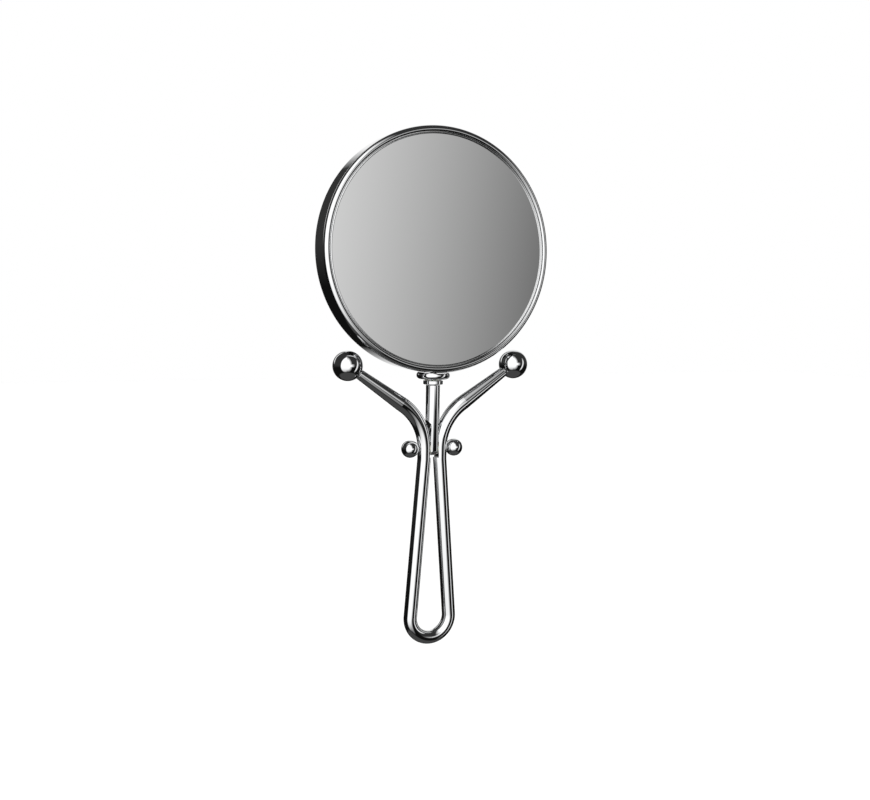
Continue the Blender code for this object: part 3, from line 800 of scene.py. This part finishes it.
def buildHorn(side, word):
    # a tapered horn with a spigot in the rod and a stud in its ball
    foot, knee = hornLine()[:2]
    length = (foot - knee).length
    turn = Matrix.Rotation(side * (pi / 2 - rod["hornTilt"]), 4, "Y")
    atKnee = onAxle @ Matrix.Translation((side * knee.x, 0, knee.y)) @ turn
    atFoot = onAxle @ Matrix.Translation((side * foot.x, 0, foot.y))
    shoulder = length - horn["shoulder"]
    low = -horn["spigotLength"]
    profile = softCorners([(0, low, 0), (horn["spigot"], low, horn["spigotEdge"]),
                           (horn["spigot"], horn["kneeGap"], 0),
                           (rod["kneeRadius"], horn["kneeGap"], horn["kneeEdge"]),
                           (horn["tip"], shoulder, horn["tipEdge"]), (horn["spigot"], shoulder, 0),
                           (horn["spigot"], length - horn["studEnd"], horn["spigotEdge"]),
                           (0, length - horn["studEnd"], 0)])
    mesh = turnedMesh("horn", profile, 96, atKnee)
    addPiece("tapered_horn_" + word, mesh, "rodChrome", "frame", ["horn_" + word])

    radius = boxOf("foot_ball_" + word)[1].x
    seatWide, studWide = horn["tip"] + horn["seatGap"], horn["spigot"] + horn["seatGap"]
    start, end = -radius - horn["runOut"], horn["endGap"] - horn["studEnd"]
    seat = [(0, start), (seatWide, start), (seatWide, -horn["seat"]), (studWide, -horn["seat"]),
            (studWide, end), (0, end)]
    cutter = turnedMesh("seatCutter", seat, 64, atFoot @ turn)
    ball = turnedMesh("ball", arc((0, 0), radius, -90, 90, 72), 144, atFoot)
    addPiece("foot_" + word, carved(ball, [cutter]), "turnedChrome", "frame",
             ["foot_ball_" + word])


# hinge: axle, ball nuts and washers

hinge = {"hole": 1.7 * mm, "washerInner": 1.7 * mm, "axleEdge": 0.3 * mm, "endGap": 0.2 * mm}


def buildHinge():
    radius, half = axleHalf.z, axleHalf.x
    profile = softCorners([(0, -half, 0), (radius, -half, hinge["axleEdge"]),
                           (radius, half, hinge["axleEdge"]), (0, half, 0)])
    addPiece("axle_pin", turnedMesh("axle_pin", profile, drillSteps, acrossAxle),
             "turnedSteel", "frame", ["hinge_axle"])
    for side, word in ((1, "right"), (-1, "left")):
        turn = Matrix.Rotation(side * pi / 2, 4, "Y")
        low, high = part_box("ball_nut_" + word)
        ballRadius = (high.z - low.z) / 2
        outer = max(abs(low.x), abs(high.x))
        inner = min(abs(low.x), abs(high.x))
        centre = outer - ballRadius
        face = centre - inner
        start = -degrees(asin(face / ballRadius))
        holeEnd = centre - half - hinge["endGap"]
        nut = [(0, -holeEnd), (hinge["hole"], -holeEnd), (hinge["hole"], -face)]
        nut += arc((0, 0), ballRadius, start, 90, 56)
        mesh = turnedMesh("nut", nut, 112, onAxle @ Matrix.Translation((side * centre, 0, 0)) @ turn)
        addPiece("side_ball_" + word, mesh, "turnedChrome", "frame", ["ball_nut_" + word])

        low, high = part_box("friction_washer_" + word)
        near, far = sorted((abs(low.x), abs(high.x)))
        wide = (high.z - low.z) / 2
        ring = [(hinge["washerInner"], near), (wide, near), (wide, far), (hinge["washerInner"], far)]
        mesh = turnedMesh("washer", ring, 64, onAxle @ turn, ring=True)
        addPiece("hinge_washer_" + word, mesh, "naturalNylon", "frame",
                 ["friction_washer_" + word])


buildRod()
for side, word in ((1, "right"), (-1, "left")):
    buildHorn(side, word)
buildHinge()
print("handle made")


# hidden pieces keep their own solids and get a proper finish

hiddenFinish = {"front_seal": "blackRubber", "back_seal": "blackRubber", "front_pad": "greyFelt",
                "back_pad": "greyFelt", "core_plate": "blackMoulding", "spring_washer": "turnedSteel",
                "swivel_screw": "turnedSteel"}
for node, finish in hiddenFinish.items():
    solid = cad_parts[node]
    solid.data.materials.clear()
    solid.data.materials.append(finishes[finish])
print("hidden pieces finished")


# floor

floorPlan = {"drop": 0.16, "half": 4.0, "tone": (0.93, 0.93, 0.925, 1), "spots": (0.90, 0.90, 0.895, 1)}


def buildFloor():
    half, level = floorPlan["half"], cadLow.z - floorPlan["drop"]
    bm = bmesh.new()
    bmesh.ops.create_grid(bm, x_segments=8, y_segments=8, size=half)
    mesh = toMesh(bm, "floor", Matrix.Translation((0, 0, level)))
    tree, shader, place = startFinish("paleFloor")
    grain = useGroup(tree, surfaceGrain, Place=place, Size=60.0, Drift=0.5)
    feed(tree, shader.inputs["Base Color"],
         mixColour(tree, grain.outputs["Tone"], floorPlan["tone"], floorPlan["spots"]))
    feed(tree, shader.inputs["Roughness"], remap(tree, grain.outputs["Tone"], 0, 1, 0.75, 0.9))
    mesh.materials.append(finishes["paleFloor"])
    floor = bpy.data.objects.new("floor", mesh)
    scene.collection.objects.link(floor)
    floor.visible_glossy = False  # the bright plate sees the dark half of the studio instead


buildFloor()


# studio: soft lights laid out by direction, in degrees; 0 is the front, + turns to the right

studio = {"backdrop": 1.0, "fill": 1.25, "room": 0.036, "lowRoom": 0.006, "ground": 0.065,
          "roomFrom": -10.0, "roomTo": 4.0, "groundTop": -44.0, "groundEdge": 8.0}
# Edge is the share of the oval that its soft border takes, Low Fall how fast it dims downward
softLights = {
    "key": {"Centre": -30, "Level": 12, "Half Width": 45, "Half Height": 62, "Lean": 0, "Squareness": 2.6,
            "Edge": 0.12, "Far Edge": 0.42, "Low Fall": 1.2, "Power": 1.35},
    "rightStrip": {"Centre": 57, "Level": -3, "Half Width": 8, "Half Height": 40, "Lean": 0.35,
                   "Squareness": 4, "Edge": 0.4, "Far Edge": 0.4, "Power": 1.0},
    "leftStrip": {"Centre": -161, "Level": 25, "Half Width": 10, "Half Height": 22, "Lean": -0.83,
                  "Squareness": 4, "Edge": 0.4, "Far Edge": 0.4, "Power": 1.0},
    "rear": {"Centre": 150, "Level": 16, "Half Width": 28, "Half Height": 46, "Lean": 0,
             "Squareness": 3, "Edge": 0.4, "Far Edge": 0.4, "Power": 0.95},
}
sweep = {"from": -30.0, "start": 5.8, "end": 34.4, "bright": 1.347, "level": 3.7, "half": 10.2,
         "edge": 2.7, "lean": 0.12}


def makeSoftLight():
    names = ["Azimuth", "Elevation", "Centre", "Level", "Half Width", "Half Height", "Lean", "Squareness",
             "Edge", "Far Edge", "Low Fall", "Power"]
    tree, given, out = startGroup("softLight", "ShaderNodeTree",
                                  [(name, floatSocket, 0.0) for name in names], [("Light", floatSocket)])
    rise = calc(tree, "SUBTRACT", given["Elevation"], given["Level"])
    away = calc(tree, "SUBTRACT", given["Azimuth"], given["Centre"])
    away = calc(tree, "SUBTRACT", away, calc(tree, "MULTIPLY", rise, given["Lean"]))
    away = calc(tree, "WRAP", away, 180.0, -180.0)
    across = calc(tree, "DIVIDE", calc(tree, "ABSOLUTE", away), given["Half Width"])
    upward = calc(tree, "DIVIDE", calc(tree, "ABSOLUTE", rise), given["Half Height"])
    total = calc(tree, "ADD", calc(tree, "POWER", across, given["Squareness"]),
                 calc(tree, "POWER", upward, given["Squareness"]))
    reach = calc(tree, "POWER", total, calc(tree, "DIVIDE", 1.0, given["Squareness"]))
    onFarSide = calc(tree, "GREATER_THAN", away, 0.0)
    edge = calc(tree, "MULTIPLY_ADD", onFarSide,
                calc(tree, "SUBTRACT", given["Far Edge"], given["Edge"]), given["Edge"])
    share = calc(tree, "DIVIDE", calc(tree, "SUBTRACT", 1.0, reach), edge, clamp=True)
    below = calc(tree, "DIVIDE", calc(tree, "MINIMUM", rise, 0.0), given["Half Height"])
    cubed = calc(tree, "POWER", calc(tree, "ABSOLUTE", below), 3.0)
    fall = calc(tree, "MULTIPLY", cubed, given["Low Fall"])
    share = calc(tree, "MULTIPLY", share, calc(tree, "SUBTRACT", 1.0, fall, clamp=True))
    tree.links.new(calc(tree, "MULTIPLY", share, given["Power"]), out["Light"])
    return tree


def sweepLight(tree, azimuth, elevation):
    # a card beside the key light that fades to the right, which the front glass looks into
    leaning = calc(tree, "MULTIPLY_ADD", elevation, -sweep["lean"], azimuth)
    fade = remap(tree, leaning, sweep["start"], sweep["end"], sweep["bright"], 0.0)
    begun = calc(tree, "GREATER_THAN", azimuth, sweep["from"])
    rise = calc(tree, "ABSOLUTE", calc(tree, "SUBTRACT", elevation, sweep["level"]))
    level = remap(tree, rise, sweep["half"] - sweep["edge"], sweep["half"], 1.0, 0.0)
    return calc(tree, "MULTIPLY", calc(tree, "MULTIPLY", fade, begun), level)


def buildStudio():
    world = bpy.data.worlds.new("studio")
    scene.world = world
    world.use_nodes = True
    tree = world.node_tree
    tree.nodes.clear()
    toward = addNode(tree, "ShaderNodeTexCoord").outputs["Generated"]
    axes = addNode(tree, "ShaderNodeSeparateXYZ", {0: toward}).outputs
    towardFront = calc(tree, "MULTIPLY", axes["Y"], -1.0)
    azimuth = calc(tree, "DEGREES", calc(tree, "ARCTAN2", axes["X"], towardFront))
    elevation = calc(tree, "DEGREES", calc(tree, "ARCSINE", axes["Z"]))
    walls = remap(tree, elevation, studio["roomFrom"], studio["roomTo"], studio["lowRoom"], studio["room"])
    ground = remap(tree, elevation, studio["groundTop"] - studio["groundEdge"], studio["groundTop"],
                   studio["ground"], 0.0)
    total = calc(tree, "MAXIMUM", walls, ground)
    total = calc(tree, "MAXIMUM", total, sweepLight(tree, azimuth, elevation))
    group = makeSoftLight()
    for light in softLights.values():
        node = useGroup(tree, group, Azimuth=azimuth, Elevation=elevation)
        for key, value in light.items():
            node.inputs[key].default_value = value
        total = calc(tree, "MAXIMUM", total, node.outputs["Light"])
    rays = addNode(tree, "ShaderNodeLightPath").outputs
    plain = calc(tree, "MULTIPLY_ADD", rays["Is Diffuse Ray"], studio["fill"] - studio["backdrop"],
                 studio["backdrop"])
    seen = addNode(tree, "ShaderNodeMix", data_type="FLOAT")
    for index, value in ((0, rays["Is Glossy Ray"]), (2, plain), (3, total)):
        feed(tree, seen.inputs[index], value)
    glow = addNode(tree, "ShaderNodeBackground", {"Color": grey(1.0), "Strength": seen.outputs[0]})
    leave = addNode(tree, "ShaderNodeOutputWorld")
    tree.links.new(glow.outputs[0], leave.inputs["Surface"])


buildStudio()
scene.view_settings.view_transform = "Standard"
print("studio lit")


# camera

cameraPlan = {"fromHead": (-0.23043, -0.5082, -0.02855), "yaw": radians(24.512), "pitch": radians(-5.251),
              "roll": radians(0.90), "lens": 42.89, "sensor": 36.0}


def buildCamera():
    yaw, pitch, roll = cameraPlan["yaw"], cameraPlan["pitch"], cameraPlan["roll"]
    ahead = Vector((sin(yaw) * cos(pitch), cos(yaw) * cos(pitch), sin(pitch)))
    level = Vector((cos(yaw), -sin(yaw), 0))
    upward = level.cross(ahead)
    right = level * cos(roll) + upward * sin(roll)
    up = right.cross(ahead)
    data = bpy.data.cameras.new("camera")
    data.lens = cameraPlan["lens"]
    data.sensor_width = cameraPlan["sensor"]
    data.clip_start = 0.01
    camera = bpy.data.objects.new("camera", data)
    turn = Matrix((right, up, -ahead)).transposed().to_4x4()
    camera.matrix_world = Matrix.Translation(headCentre + Vector(cameraPlan["fromHead"])) @ turn
    scene.collection.objects.link(camera)
    scene.camera = camera


buildCamera()
print("camera set")
